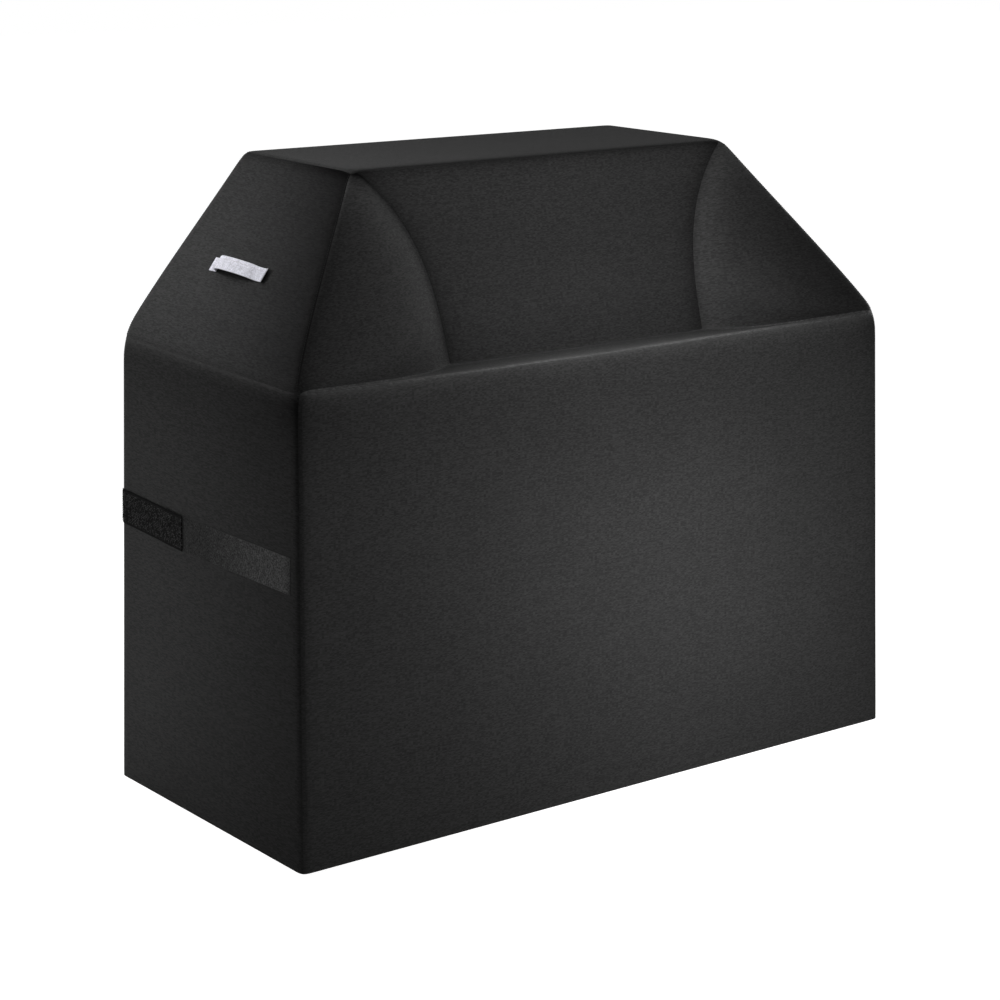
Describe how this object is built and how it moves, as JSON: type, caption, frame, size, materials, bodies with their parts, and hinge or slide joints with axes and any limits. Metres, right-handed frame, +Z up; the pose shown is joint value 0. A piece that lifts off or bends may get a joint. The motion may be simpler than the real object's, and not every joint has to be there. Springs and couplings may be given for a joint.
{
  "type": "grill cover",
  "caption": "Fitted black fabric cover for a cart grill: flared box with a hipped hood, recessed front hood panel between curved gussets, webbing side handles and peelable cinch straps.",
  "frame": {"origin": "middle of the hem's outline, on the ground", "axes": "+X to the right along the width, -Y to the front, +Z up"},
  "size_m": [1.444, 0.655, 1.222],
  "materials": {
    "cover_fabric": "plain-woven coated polyester, black, soft sheen",
    "webbing": "light grey woven webbing, matt",
    "hook_tape": "black woven strap with a hooked inner face",
    "loop_tape": "dark grey brushed loop tape, fuzzy"
  },
  "bodies": {
    "cover": {"top_panel": "cover_fabric", "front_hood_panel": "cover_fabric", "front_left_gusset": "cover_fabric", "front_right_gusset": "cover_fabric", "front_ledge": "cover_fabric", "left_slope_panel": "cover_fabric", "right_slope_panel": "cover_fabric", "back_upper_panel": "cover_fabric", "front_lower_panel": "cover_fabric", "back_lower_panel": "cover_fabric", "left_side_panel": "cover_fabric", "right_side_panel": "cover_fabric", "front_hem": "cover_fabric", "back_hem": "cover_fabric", "left_hem": "cover_fabric", "right_hem": "cover_fabric", "left_handle_front_tab": "webbing", "left_handle_rear_tab": "webbing", "right_handle_front_tab": "webbing", "right_handle_rear_tab": "webbing", "left_strap_root": "hook_tape", "left_loop_strip": "loop_tape", "right_strap_root": "hook_tape", "right_loop_strip": "loop_tape"},
    "left_handle": {"left_handle_loop": "webbing"},
    "right_handle": {"right_handle_loop": "webbing"},
    "left_strap": {"left_hook_strap": "hook_tape"},
    "right_strap": {"right_hook_strap": "hook_tape"}
  },
  "joints": [
    {"name": "left_handle_tilt", "type": "hinge", "parent": "cover", "child": "left_handle", "pos_m": [-0.58304, 0.046, 1.04247], "axis": [0, 1, 0], "range_deg": [-15, 15]},
    {"name": "right_handle_tilt", "type": "hinge", "parent": "cover", "child": "right_handle", "pos_m": [0.58304, 0.046, 1.04247], "axis": [0, 1, 0], "range_deg": [-15, 15]},
    {"name": "left_strap_peel", "type": "hinge", "parent": "cover", "child": "left_strap", "pos_m": [-0.71225, 0.2875, 0.5461], "axis": [-0.0252, 0, -0.9997], "range_deg": [0, 150]},
    {"name": "right_strap_peel", "type": "hinge", "parent": "cover", "child": "right_strap", "pos_m": [0.71225, 0.2875, 0.5461], "axis": [-0.0252, 0, 0.9997], "range_deg": [0, 150]}
  ]
}
